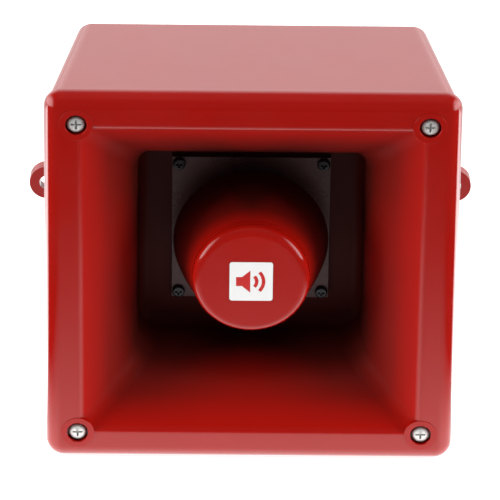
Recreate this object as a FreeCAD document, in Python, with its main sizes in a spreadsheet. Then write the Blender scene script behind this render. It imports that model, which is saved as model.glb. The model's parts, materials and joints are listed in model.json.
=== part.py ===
import FreeCAD, Part

# Alarm siren: a horn sounder in a square moulded housing, drawn as an assembly.
#
# The frame's origin is the midpoint between the two fixing lugs, on the flat rear face.
# +Z is up, +X is to the right as seen from in front, and the horn's mouth faces -Y.
# All depths in this file are counted from the mouth plane towards the rear face.
#
# The sound path, from the rear: compression driver, throat plate, throat tube running
# forward inside the bell, back between tube and bell, and out through the square flare.

import math
import os
import re

import Sketcher
from FreeCAD import Placement, Rotation, Vector

doc = FreeCAD.newDocument("AlarmSiren")

# ---------------------------------------------------------------- driving dimensions

SIZES = {
    # bezel and square flare, one moulding
    "face_size": 180,
    "overall_depth": 100,
    "bezel_depth": 7.5,
    "bezel_corner": 8,
    "bezel_round": 7,
    "bezel_skin": 3.5,
    "channel_half": 84.4,
    "skin": 2.5,
    "lip_round": 3,
    "flare_slope": 50,
    "flare_round": 30,
    "throat_half": 50,
    "throat_depth": 35,
    "horn_depth": 55,
    "crease_round": 9,
    "back_round": 5,
    # where the flare's sloping lip meets its curve and the face, inside and outside
    "knee_half": "=throat_half + flare_round * (1 - cos(flare_slope))",
    "knee_depth": "=throat_depth - flare_round * sin(flare_slope)",
    "mouth_half": "=knee_half + knee_depth * tan(flare_slope)",
    "skin_knee_half": "=knee_half + skin * cos(flare_slope)",
    "skin_knee_depth": "=knee_depth + skin * sin(flare_slope)",
    "skin_mouth_half": "=mouth_half + skin / cos(flare_slope)",
    # cover screws, their bosses and inserts
    "screw_half": 76,
    "boss_radius": 7.4,
    "boss_rise": 0.25,
    "recess_radius": 4.65,
    "recess_depth": 4.2,
    "screw_radius": 2,
    "screw_head_radius": 4.1,
    "screw_head_depth": 0.5,
    "screw_end_depth": 18,
    "screw_clearance": 0.25,
    "screw_seal_thickness": 0.6,
    "insert_radius": 2.9,
    "insert_start_depth": 8.6,
    "insert_end_depth": 17,
    "thread_clearance": 0.05,
    "cross_width": 0.9,
    # rear housing
    "wall": 3,
    "housing_front": 177.6,
    "housing_rear": 156,
    "housing_corner": 7,
    "housing_rear_round": 4,
    "rear_recess_half": 60,
    "rear_recess_depth": 0.8,
    "post_radius": 5.6,
    "post_end_depth": 30,
    "web_thickness": 3,
    "web_reach": 85.9,
    "rim_half": 82.8,
    "rim_end_depth": 11.5,
    "rim_corner": 5,
    "groove_outer_half": 86.9,
    "groove_depth": 2,
    "seal_gap": 0.05,
    "spigot_gap": 0.4,
    "spigot_end_depth": 12,
    "spigot_length": 100,
    "lug_half_spacing": 92,
    "lug_radius": 8,
    "lug_hole_radius": 3.5,
    "lug_thickness": 6,
    # cable entries in the bottom wall, M20 x 1.5
    "entry_half_spacing": 36,
    "entry_depth": 71,
    "entry_radius": 9.19,
    "entry_boss_radius": 17,
    "entry_seat_radius": 14.5,
    "entry_seat_drop": 77.5,
    "entry_boss_top": 66,
    "plug_head_radius": 12,
    "plug_head_round": 0.8,
    "plug_head_height": 1.2,
    "plug_seal_radius": 12.5,
    "plug_seal_height": 1,
    "plug_reach": 2,
    "plug_slot_width": 1.6,
    "plug_slot_depth": 1,
    # square throat plate at the back of the flare
    "plate_half": 35,
    "plate_thickness": 3,
    "plate_screw_half": 32,
    "plate_screw_radius": 1.5,
    "plate_head_radius": 2.8,
    "plate_head_height": 1.9,
    "plate_screw_end_depth": 62,
    "throat_radius": 9,
    # re-entrant tube and bell
    "tube_mouth_radius": 12,
    "tube_wall": 2,
    "tube_mouth_depth": 13,
    "tube_flange_radius": 17,
    "tube_flange_thickness": 2.5,
    "fin_thickness": 2,
    "fin_start_depth": 15,
    "fin_end_depth": 37,
    "nose_depth": 1.5,
    "nose_radius": 25.9,
    "nose_round": 4,
    "bell_mouth_radius": 34.4,
    "bell_mouth_depth": 40,
    "bell_round": 150,
    "bell_wall": 2.2,
    "badge_size": 19,
    "badge_corner": 1.2,
    "badge_thickness": 0.4,
    # compression driver
    "gasket_thickness": 0.8,
    "driver_radius": 41,
    "driver_front_thickness": 8,
    "driver_bolt_half": 26.9,
    "driver_bolt_radius": 1.5,
    "driver_bolt_head_radius": 2.75,
    "driver_bolt_head_height": 2.6,
    "driver_bolt_tip_depth": 53,
    "can_radius": 34.8,
    "can_wall": 1.8,
    "can_end_depth": 87.3,
    "recess_bottom_depth": 61.5,
    "surround_radius": 28,
    "dome_radius": 19.4,
    "dome_height": 2.6,
    "film_thickness": 0.5,
    "dome_base_depth": 65.3,
    "surround_gap": 0.4,
    "coil_inner_radius": 18.8,
    "coil_end_depth": 71,
    "tab_length": 5.6,
    "tab_embed": 0.2,
    "tab_width": 2.8,
    "tab_thickness": 0.8,
    "tab_half_spacing": 4,
    "lead_inset": 6,
    "lead_radius": 0.8,
    "pole_radius": 18.2,
    "pole_vent_radius": 3,
    "gap_outer_radius": 20,
    "steel_radius": 30.5,
    "steel_thickness": 4,
    "magnet_inner_radius": 22,
    "magnet_radius": 32.5,
    "magnet_thickness": 10,
    "plug_tip_radius": 1.5,
    "plug_base_radius": 5.5,
    "plug_ring_radius": 12,
    "plug_ring_wall": 1.5,
    "plug_ring_thickness": 1.2,
    # circuit board
    "board_width": 128,
    "board_height": 112,
    "board_thickness": 1.6,
    "board_depth": 90.4,
    "board_screw_across": 58,
    "board_screw_up": 50,
    "board_screw_radius": 1.5,
    "spacer_radius": 3.5,
    "board_screw_head_radius": 2.85,
    "board_screw_head_height": 1.8,
    "board_gap": 1,
    # screw terminals
    "terminal_pitch": 5,
    "terminal_width": 9,
    "terminal_rise": 12,
    "terminal_up": -49,
    "terminal_screw_up": -47.5,
    "terminal_screw_radius": 1.8,
    "terminal_screw_sink": 0.8,
    "terminal_well_radius": 2,
    "terminal_well_depth": 7,
    "terminal_slot_width": 0.7,
    "wire_entry_size": 3,
    "wire_entry_up": -52.5,
    "wire_entry_start": 5,
    "wire_entry_end": 10,
    # tone selector
    "slider_count": 5,
    "slider_pitch": 2.54,
    "slider_width": 1.2,
    "slider_height": 1.3,
    "slider_travel": 1.5,
    "slider_stand": 0.6,
    "slider_root": 2,
    "slider_well_depth": 2.2,
    "slider_clearance": 0.1,
    "switch_across": 44,
    "switch_up": 43,
    "switch_height": 8,
    "switch_rise": 4,
    "switch_margin": 0.8,
    # volume control
    "trimmer_across": -44,
    "trimmer_up": 43,
    "trimmer_size": 10,
    "trimmer_rise": 6,
    "rotor_radius": 3,
    "rotor_clearance": 0.1,
    "rotor_well_depth": 4,
    "rotor_stand": 0.4,
    "rotor_slot_width": 0.8,
    # output transformer
    "core_across": -50,
    "core_up": -22,
    "core_width": 12,
    "core_length": 30,
    "core_rise": 24,
    "core_window": 7,
    "core_window_up": 8.5,
    "core_window_rise": 14,
    "core_yoke": 5,
    "winding_width": 20,
    "winding_length": 23.6,
    "winding_rise": 13.6,
    "winding_clearance": 0.2,
    # power stage, supply and controller
    "capacitor_radius": 5,
    "capacitor_rise": 21,
    "capacitor_across": 54,
    "capacitor_pitch": 14,
    "capacitor_up": 4,
    "solder_gap": 0.3,
    "sink_across": -58,
    "sink_up": 14,
    "sink_base": 2,
    "sink_height": 26,
    "sink_rise": 22,
    "sink_fin_pitch": 6,
    "sink_fin_length": 5.2,
    "sink_fin_thickness": 1.4,
    "transistor_width": 3.8,
    "transistor_height": 10,
    "transistor_rise": 15,
    "transistor_gap": 2,
    "chip_up": 47,
    "chip_width": 18,
    "chip_height": 7,
    "chip_rise": 2.4,
    "fuse_across": -43,
    "fuse_up": -49,
    "fuse_radius": 2.5,
    "fuse_length": 20,
    "fuse_lift": 3.4,
    "clip_width": 5.4,
    "clip_rise": 6.4,
    "clip_half_spacing": 7,
    # the driver's connector on the board
    "header_across": 22,
    "header_up": 47,
    "header_width": 8,
    "header_height": 6,
    "header_rise": 3.2,
    "pin_half_spacing": 1.4,
    "pin_radius": 0.4,
    "pin_rise": 5,
    "plug_gap": 3.3,
    "plug_rise": 6.5,
    "plug_trim": 0.4,
    "lead_lift": 5,
    "lead_step": 8,
    "lead_bend": 2.4,
}

# a pan head's rounded edge and cross recess, as shares of its height and radius
HEAD_ROUNDING = 0.45
RECESS_DEPTH = 0.6
RECESS_SPAN = 1.1

# edges this close to a plane, in millimetres, are taken to lie in it
TOUCHING = 0.01

sheet = doc.addObject("Spreadsheet::Sheet", "Sizes")
for row, (alias, size) in enumerate(SIZES.items(), start=1):
    sheet.set(f"A{row}", alias)
    sheet.set(f"B{row}", str(size))
    sheet.setAlias(f"B{row}", alias)
doc.recompute()


def cells(text):
    """The sheet's aliases in text, each with the sheet's name in front."""
    return re.sub(r"[a-z][a-z_]+", lambda found: "Sizes." + found.group(), text)


def value(text):
    """What an expression over the sheet's aliases comes to, in millimetres."""
    return float(sheet.evalExpression(cells(text)))


def bind(thing, **expressions):
    """Tie properties of a document object to the sheet; double underscores stand for dots."""
    for name, text in expressions.items():
        thing.setExpression(name.replace("__", "."), cells(text))


# ---------------------------------------------------------------- sketches and bodies

NODES = []


def node(thing, name):
    """Name a finished sub-part, and list it for export."""
    thing.Label = name
    NODES.append(thing)
    return thing


def new_body(name):
    """A body whose own Y runs from the mouth plane backwards."""
    body = doc.addObject("PartDesign::Body", name)
    bind(body, Placement__Base__y="-overall_depth")
    return body


def plane_sketch(body, role, shift="0"):
    """A sketch on one of the body's origin planes, moved along the plane's normal."""
    plane = next(p for p in body.Origin.OriginFeatures if p.Role == role)
    sketch = body.newObject("Sketcher::SketchObject", body.Name + "Sketch")
    sketch.AttachmentSupport = [(plane, "")]
    sketch.MapMode = "FlatFace"
    bind(sketch, AttachmentOffset__Base__z=shift)
    return sketch


def cross_sketch(body, depth):
    """A sketch across the horn's axis, at a depth: its own x is X, and its own y is Z."""
    return plane_sketch(body, "XZ_Plane", f"-({depth})")


def hold(sketch, kind, geometry, point, text):
    """Dimension a point from the sketch's origin. A leading minus puts it on the negative side."""
    if value(text) == 0:
        axis = -2 if kind == "DistanceX" else -1
        sketch.addConstraint(Sketcher.Constraint("PointOnObject", geometry, point, axis))
        return
    if text.startswith("-"):
        ends = (geometry, point, -1, 1)
        text = text[1:]
    else:
        ends = (-1, 1, geometry, point)
    index = sketch.addConstraint(Sketcher.Constraint(kind, *ends, value(text)))
    sketch.setExpression(f"Constraints[{index}]", cells(text))


def arc_between(start, end, radius):
    """The short arc from start to end. A positive radius turns left, a negative one right."""
    half = (end - start) * 0.5
    rise = math.sqrt(radius * radius - half.Length ** 2)
    left = Vector(-half.y, half.x, 0).normalize()
    centre = start + half + left * math.copysign(rise, radius)
    circle = Part.Circle(centre, Vector(0, 0, 1), abs(radius))
    first, last = (start, end) if radius > 0 else (end, start)
    return Part.ArcOfCircle(circle, circle.parameter(first), circle.parameter(last))


def outline(sketch, points):
    """A closed outline. Each point is (x, y), or (x, y, radius) where an arc arrives at it."""
    places = [Vector(value(p[0]), value(p[1]), 0) for p in points]
    edges = []
    for index, point in enumerate(points):
        start, end = places[index - 1], places[index]
        if len(point) == 2:
            geometry = sketch.addGeometry(Part.LineSegment(start, end))
            edges.append((geometry, 1, 2))
        else:
            radius = value(point[2])
            geometry = sketch.addGeometry(arc_between(start, end, radius))
            edges.append((geometry, 1, 2) if radius > 0 else (geometry, 2, 1))
            size = point[2].lstrip("-")
            fixed = sketch.addConstraint(Sketcher.Constraint("Radius", geometry, abs(radius)))
            sketch.setExpression(f"Constraints[{fixed}]", cells(size))
    for index, (geometry, first, last) in enumerate(edges):
        following = edges[(index + 1) % len(edges)]
        sketch.addConstraint(
            Sketcher.Constraint("Coincident", geometry, last, following[0], following[1])
        )
        hold(sketch, "DistanceX", geometry, last, points[index][0])
        hold(sketch, "DistanceY", geometry, last, points[index][1])
    return sketch


def circle(sketch, radius, across="0", up="0"):
    """A circle in a sketch, dimensioned from the sketch's origin."""
    centre = Vector(value(across), value(up), 0)
    geometry = sketch.addGeometry(Part.Circle(centre, Vector(0, 0, 1), value(radius)))
    hold(sketch, "DistanceX", geometry, 3, across)
    hold(sketch, "DistanceY", geometry, 3, up)
    index = sketch.addConstraint(Sketcher.Constraint("Radius", geometry, value(radius)))
    sketch.setExpression(f"Constraints[{index}]", cells(radius))
    return sketch


def rectangle(sketch, half_across, half_up=None):
    """A rectangle centred on the sketch's origin, given by its half sizes."""
    up = half_up or half_across
    corners = [("", ""), ("-", ""), ("-", "-"), ("", "-")]
    return outline(sketch, [(f"{x}({half_across})", f"{y}({up})") for x, y in corners])


def rounded_square(sketch, half, radius):
    """A centred square with round corners, drawn anticlockwise from the lower right corner."""
    straight = f"({half}) - ({radius})"
    points = []
    for x, y, swap in (("", "-", True), ("", "", False), ("-", "", True), ("-", "-", False)):
        near = (f"{x}({half})", f"{y}({straight})")
        far = (f"{x}({straight})", f"{y}({half})")
        first, last = (far, near) if swap else (near, far)
        points += [first, (*last, radius)]
    return outline(sketch, points)


def pad(body, sketch, length, backwards=True):
    """Add material: backwards is away from the mouth on a cross sketch."""
    feature = body.newObject("PartDesign::Pad", "Pad")
    feature.Profile = sketch
    feature.Reversed = backwards
    bind(feature, Length=length)
    doc.recompute()
    return feature


def pocket(body, sketch, length, backwards=True):
    """Remove material, and make sure that something went."""
    before = body.Shape.Volume
    feature = body.newObject("PartDesign::Pocket", "Pocket")
    feature.Profile = sketch
    feature.Reversed = not backwards
    bind(feature, Length=length)
    doc.recompute()
    if not body.Shape.Volume < before - 0.01:
        raise ValueError(f"a pocket in {body.Name} removes nothing")
    return feature


def lies_at(edge, y):
    """Whether an edge lies in the plane across the axis at y."""
    return edge.BoundBox.YLength < TOUCHING and abs(edge.BoundBox.YMin - y) < TOUCHING


def edge_names(shape, chosen):
    """The names of the edges that a test picks."""
    return [f"Edge{i}" for i, edge in enumerate(shape.Edges, start=1) if chosen(edge)]


def fillet(body, radius, chosen):
    """Round the chosen edges of what the body holds so far."""
    base = body.Tip
    feature = body.newObject("PartDesign::Fillet", "Fillet")
    feature.Base = (base, edge_names(base.Shape, chosen))
    bind(feature, Radius=radius)
    doc.recompute()
    return feature


def turned(name, points, about="depth"):
    """A turned body from (radius, place along the axis) points; the axis is Y, or Z for "up"."""
    body = new_body(name)
    sketch = plane_sketch(body, "XY_Plane" if about == "depth" else "XZ_Plane")
    outline(sketch, points)
    feature = body.newObject("PartDesign::Revolution", name + "Turned")
    feature.Profile = sketch
    feature.ReferenceAxis = (sketch, ["V_Axis"])
    feature.Angle = 360
    doc.recompute()
    return body


# ---------------------------------------------------------------- primitives and booleans


def rod(radius, start, end, x="0", z="0"):
    """A cylinder along the horn's axis between two depths."""
    thing = doc.addObject("Part::Cylinder", "Rod")
    thing.Placement = Placement(Vector(), Rotation(Vector(1, 0, 0), -90))
    bind(
        thing,
        Radius=radius,
        Height=f"({end}) - ({start})",
        Placement__Base__x=x,
        Placement__Base__y=f"({start}) - overall_depth",
        Placement__Base__z=z,
    )
    return thing


def rounded_edges(name, base, radius, chosen):
    """A copy of an up-to-date thing with the chosen edges rounded."""
    size = value(radius)
    thing = doc.addObject("Part::Fillet", name)
    thing.Base = base
    numbers = [i for i, edge in enumerate(base.Shape.Edges, start=1) if chosen(edge)]
    thing.Edges = [(number, size, size) for number in numbers]
    return thing


def rounded_rod(radius, start, end, at, rounding):
    """A cylinder whose front edge is rounded off."""
    plain = rod(radius, start, end, *at)
    doc.recompute()
    front = min(edge.CenterOfMass.y for edge in plain.Shape.Edges)
    return rounded_edges(
        "RoundedRod", plain, rounding, lambda edge: abs(edge.CenterOfMass.y - front) < TOUCHING
    )


def cone(front_radius, back_radius, start, end, x="0", z="0"):
    """A cone along the horn's axis between two depths."""
    thing = doc.addObject("Part::Cone", "Cone")
    thing.Placement = Placement(Vector(), Rotation(Vector(1, 0, 0), -90))
    bind(
        thing,
        Radius1=front_radius,
        Radius2=back_radius,
        Height=f"({end}) - ({start})",
        Placement__Base__x=x,
        Placement__Base__y=f"({start}) - overall_depth",
        Placement__Base__z=z,
    )
    return thing


def block(x, z, start, end, width, height):
    """A box centred on x and z, between two depths."""
    thing = doc.addObject("Part::Box", "Block")
    bind(
        thing,
        Length=width,
        Width=f"({end}) - ({start})",
        Height=height,
        Placement__Base__x=f"({x}) - ({width}) / 2",
        Placement__Base__y=f"({start}) - overall_depth",
        Placement__Base__z=f"({z}) - ({height}) / 2",
    )
    return thing


def fuse(name, things):
    """One solid from several."""
    thing = doc.addObject("Part::MultiFuse", name)
    thing.Shapes = things
    thing.Refine = True
    return thing


def cut(name, base, tools):
    """The base with every tool taken away."""
    thing = doc.addObject("Part::Cut", name)
    thing.Base = base
    thing.Tool = tools[0] if len(tools) == 1 else fuse(name + "Tools", tools)
    thing.Refine = True
    return thing


def group(name, things):
    """Identical pieces that share one node, each still its own solid."""
    thing = doc.addObject("Part::Compound", name)
    thing.Links = things
    return node(thing, name)


def corners(half_across, half_up=None):
    """The four corners of a centred rectangle, as pairs of expressions."""
    up = half_up or half_across
    return [(f"{x}({half_across})", f"{z}({up})") for x in ("", "-") for z in ("", "-")]


# ---------------------------------------------------------------- front moulding


def flare_prism(name, profile, turned_up):
    """A flare profile drawn through the whole height, or, turned up, the whole width."""
    sketch = doc.addObject("Sketcher::SketchObject", name + "Sketch")
    mirrored = [(f"-({p[0]})", *p[1:]) for p in profile]
    back = []
    for index in range(len(mirrored) - 1, -1, -1):
        bend = mirrored[index + 1][2:] if index + 1 < len(mirrored) else ()
        back.append((*mirrored[index][:2], *bend))
    outline(sketch, profile + back)
    sketch.Placement = Placement(
        Vector(), Rotation(Vector(0, 1, 0), 90 if turned_up else 0)
    )
    bind(sketch, Placement__Base__y="-overall_depth")
    prism = doc.addObject("Part::Extrusion", name)
    prism.Base = sketch
    prism.DirMode = "Custom"
    prism.Dir = Vector(1, 0, 0) if turned_up else Vector(0, 0, 1)
    prism.Symmetric = True
    prism.Solid = True
    bind(prism, LengthFwd="face_size")
    return prism


def square_flare(name, profile):
    """A square horn: the same profile seen from the side and from above."""
    both = doc.addObject("Part::Common", name)
    both.Base = flare_prism(name + "Side", profile, True)
    both.Tool = flare_prism(name + "Plan", profile, False)
    return both


def soft_flare(profile):
    """The flare's hollow, with its creases and the edges of its back wall rounded."""
    sharp = square_flare("FlareHollow", profile)
    doc.recompute()

    def crease(edge):
        diagonal = all(abs(abs(end.X) - abs(end.Z)) < TOUCHING for end in edge.Vertexes)
        return diagonal and edge.BoundBox.YLength > TOUCHING

    soft = rounded_edges("FlareCreases", sharp, "crease_round", crease)
    doc.recompute()
    back = value("horn_depth - overall_depth")
    return rounded_edges("FlareBack", soft, "back_round", lambda edge: lies_at(edge, back))


def around_the_mouth(edge):
    """Whether an edge of the moulding is on the mouth's rim, in the front plane."""
    reach = max(abs(edge.CenterOfMass.x), abs(edge.CenterOfMass.z))
    at_front = lies_at(edge, -value("overall_depth"))
    return at_front and reach < value("mouth_half") + TOUCHING


def bezel_block():
    """The square front frame: rounded outside, with an open channel behind it."""
    body = new_body("bezel_block")
    pad(body, rectangle(cross_sketch(body, "0"), "face_size / 2"), "bezel_depth")

    fillet(body, "bezel_corner", lambda edge: edge.BoundBox.YLength > value("bezel_depth / 2"))
    fillet(body, "bezel_round", lambda edge: lies_at(edge, 0))
    channel = rectangle(cross_sketch(body, "bezel_depth"), "channel_half")
    pocket(body, channel, "bezel_depth - bezel_skin", backwards=False)
    return body


def horn_front():
    """Bezel, flare and screw bosses in one moulding, with the flare open to the front."""
    inside = [
        ("mouth_half", "0"),
        ("knee_half", "knee_depth"),
        ("throat_half", "throat_depth", "-flare_round"),
        ("throat_half", "horn_depth"),
    ]
    outside = [
        ("skin_mouth_half", "0"),
        ("skin_knee_half", "skin_knee_depth"),
        ("throat_half + skin", "throat_depth", "-(flare_round - skin)"),
        ("throat_half + skin", "horn_depth + skin"),
    ]
    spigot_half = "rim_half - spigot_gap - skin / 2"
    spigots = []
    for side in ("", "-"):
        across = (f"{side}({spigot_half})", "0")
        spigots.append(block(*across, "bezel_skin", "spigot_end_depth", "skin", "spigot_length"))
        spigots.append(
            block(*across[::-1], "bezel_skin", "spigot_end_depth", "spigot_length", "skin")
        )
    shell = fuse("HornShell", [bezel_block(), square_flare("FlareSkin", outside), *spigots])
    hollow = cut("HornHollow", shell, [soft_flare(inside)])
    doc.recompute()
    mouth = rounded_edges("HornLip", hollow, "lip_round", around_the_mouth)
    rounding = "boss_rise * 0.8"
    bosses = [
        rounded_rod("boss_radius", "-boss_rise", "bezel_depth", at, rounding)
        for at in corners("screw_half")
    ]
    plate_back = "horn_depth + skin"
    pillars = [
        rod("plate_screw_radius + skin / 2", plate_back, f"{plate_back} + skin + skin", *at)
        for at in corners("plate_screw_half")
    ]
    solid = fuse("HornSolid", [mouth, *bosses, *pillars])
    holes = [rod("throat_radius", "horn_depth - skin", "horn_depth + skin + skin")]
    for at in corners("screw_half"):
        holes.append(rod("recess_radius", "-bezel_depth", "recess_depth", *at))
        rim = ("recess_radius + boss_rise", "recess_radius", "-boss_rise", "boss_rise / 2")
        holes.append(cone(*rim, *at))
        holes.append(rod("screw_radius + screw_clearance", "0", "bezel_depth + skin", *at))
    for at in corners("plate_screw_half"):
        holes.append(rod("plate_screw_radius", "horn_depth - skin", "plate_screw_end_depth", *at))
    for at in corners("driver_bolt_half"):
        holes.append(rod("driver_bolt_radius", "horn_depth - skin", "horn_depth + skin + skin", *at))
    return node(cut("HornFront", solid, holes), "horn_front")


# ---------------------------------------------------------------- bell, tube and plate


def throat_plate():
    """The square plate at the back of the flare, which clamps the driver through the wall."""
    front = "horn_depth - plate_thickness"
    body = new_body("throat_plate")
    pad(body, rectangle(cross_sketch(body, front), "plate_half"), "plate_thickness")
    pocket(body, circle(cross_sketch(body, front), "throat_radius"), "plate_thickness")
    screws = cross_sketch(body, front)
    for x, z in corners("plate_screw_half"):
        circle(screws, "plate_screw_radius", x, z)
    pocket(body, screws, "plate_thickness")
    bolts = cross_sketch(body, "driver_bolt_tip_depth")
    for x, z in corners("driver_bolt_half"):
        circle(bolts, "driver_bolt_radius", x, z)
    pocket(body, bolts, "horn_depth - driver_bolt_tip_depth")
    return node(body, "throat_plate")


def throat_tube():
    """The tube that carries the sound forward, with a foot that stands on the throat plate."""
    foot = "horn_depth - plate_thickness"
    body = turned(
        "throat_tube",
        [
            ("throat_radius", foot),
            ("tube_flange_radius", foot),
            ("tube_flange_radius", f"{foot} - tube_flange_thickness"),
            ("throat_radius + tube_wall", f"{foot} - tube_flange_thickness"),
            ("tube_mouth_radius + tube_wall", "tube_mouth_depth"),
            ("tube_mouth_radius", "tube_mouth_depth"),
        ],
    )
    return node(body, "throat_tube")


def bell_reflector():
    """The bell: a flat closed nose at the front, and an open mouth that faces the plate."""
    side_start = "nose_depth + nose_round + nose_round"
    body = turned(
        "bell_reflector",
        [
            ("0", "nose_depth"),
            ("0", "nose_depth + bell_wall"),
            ("nose_radius - bell_wall", "nose_depth + bell_wall"),
            ("nose_radius - bell_wall", side_start),
            ("bell_mouth_radius - bell_wall", "bell_mouth_depth", "bell_round"),
            ("bell_mouth_radius", "bell_mouth_depth"),
            ("nose_radius", side_start, "-bell_round"),
            ("nose_radius", "nose_depth"),
        ],
    )
    fillet(body, "nose_round", lambda edge: lies_at(edge, value("nose_depth")))
    bell_fins(body)
    seat = rectangle(cross_sketch(body, "nose_depth"), "badge_size / 2")
    pocket(body, seat, "badge_thickness / 2")
    return node(body, "bell_reflector")


def tube_radius_at(depth):
    """The outer radius of the throat tube at a depth between its foot and its mouth."""
    foot = "(horn_depth - plate_thickness - tube_flange_thickness)"
    slope = f"(tube_mouth_radius - throat_radius) / ({foot} - tube_mouth_depth)"
    return f"throat_radius + tube_wall + ({foot} - ({depth})) * {slope}"


def bell_fins(body):
    """Three fins inside the bell, which are bonded to the throat tube and carry the bell."""
    fin = plane_sketch(body, "XY_Plane", "-fin_thickness / 2")
    outline(
        fin,
        [
            (tube_radius_at("fin_start_depth"), "fin_start_depth"),
            ("nose_radius", "fin_start_depth"),
            ("bell_mouth_radius - bell_wall", "fin_end_depth"),
            (tube_radius_at("fin_end_depth"), "fin_end_depth"),
        ],
    )
    web = pad(body, fin, "fin_thickness", backwards=False)
    ring = body.newObject("PartDesign::PolarPattern", "Fins")
    ring.Originals = [web]
    axis = next(line for line in body.Origin.OriginFeatures if line.Role == "Y_Axis")
    ring.Axis = (axis, [""])
    ring.Angle = 360
    ring.Occurrences = 3
    body.Tip = ring
    doc.recompute()


def nose_badge():
    """The small square badge let into the nose."""
    body = new_body("nose_badge")
    front = "nose_depth - badge_thickness / 2"
    half = "badge_size / 2 - thread_clearance"
    pad(body, rectangle(cross_sketch(body, front), half), "badge_thickness")
    fillet(body, "badge_corner", lambda edge: edge.BoundBox.YLength > value("badge_thickness / 2"))
    return node(body, "nose_badge")


def cross_slot(at, start, depth, span):
    """The two bars of a cross recess in a screw head."""
    end = f"({start}) + ({depth})"
    return [
        block(*at, start, end, span, "cross_width"),
        block(*at, start, end, "cross_width", span),
    ]


def pan_screw(at, head_start, head_end, tip, head_radius, shank_radius):
    """A cross-recess screw with a plain shank and a rounded pan head that faces forwards."""
    height = f"({head_end} - ({head_start}))"
    crown = rounded_rod(head_radius, head_start, head_end, at, f"{height} * {HEAD_ROUNDING}")
    shank = rod(shank_radius, head_end, tip, *at)
    depth = f"{height} * {RECESS_DEPTH}"
    slot = cross_slot(at, head_start, depth, f"{head_radius} * {RECESS_SPAN}")
    return cut("PanScrew", fuse("ScrewBlank", [crown, shank]), slot)


def front_fasteners():
    """The four cover screws with their seals, and the four screws of the throat plate."""
    head_end = "recess_depth - screw_seal_thickness"
    screws, seals = [], []
    for at in corners("screw_half"):
        screws.append(
            pan_screw(
                at,
                "screw_head_depth",
                head_end,
                "screw_end_depth",
                "screw_head_radius",
                "screw_radius",
            )
        )
        washer = rod("screw_head_radius - thread_clearance", head_end, "recess_depth", *at)
        bore = rod("screw_radius + thread_clearance", head_end, "recess_depth", *at)
        seals.append(cut("ScrewSeal", washer, [bore]))
    group("cover_screws", screws)
    group("screw_seals", seals)
    plate_front = "horn_depth - plate_thickness"
    plate_screws = [
        pan_screw(
            at,
            f"{plate_front} - plate_head_height",
            plate_front,
            "plate_screw_end_depth - skin / 2",
            "plate_head_radius",
            "plate_screw_radius - thread_clearance",
        )
        for at in corners("plate_screw_half")
    ]
    group("plate_screws", plate_screws)


# ---------------------------------------------------------------- compression driver


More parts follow.
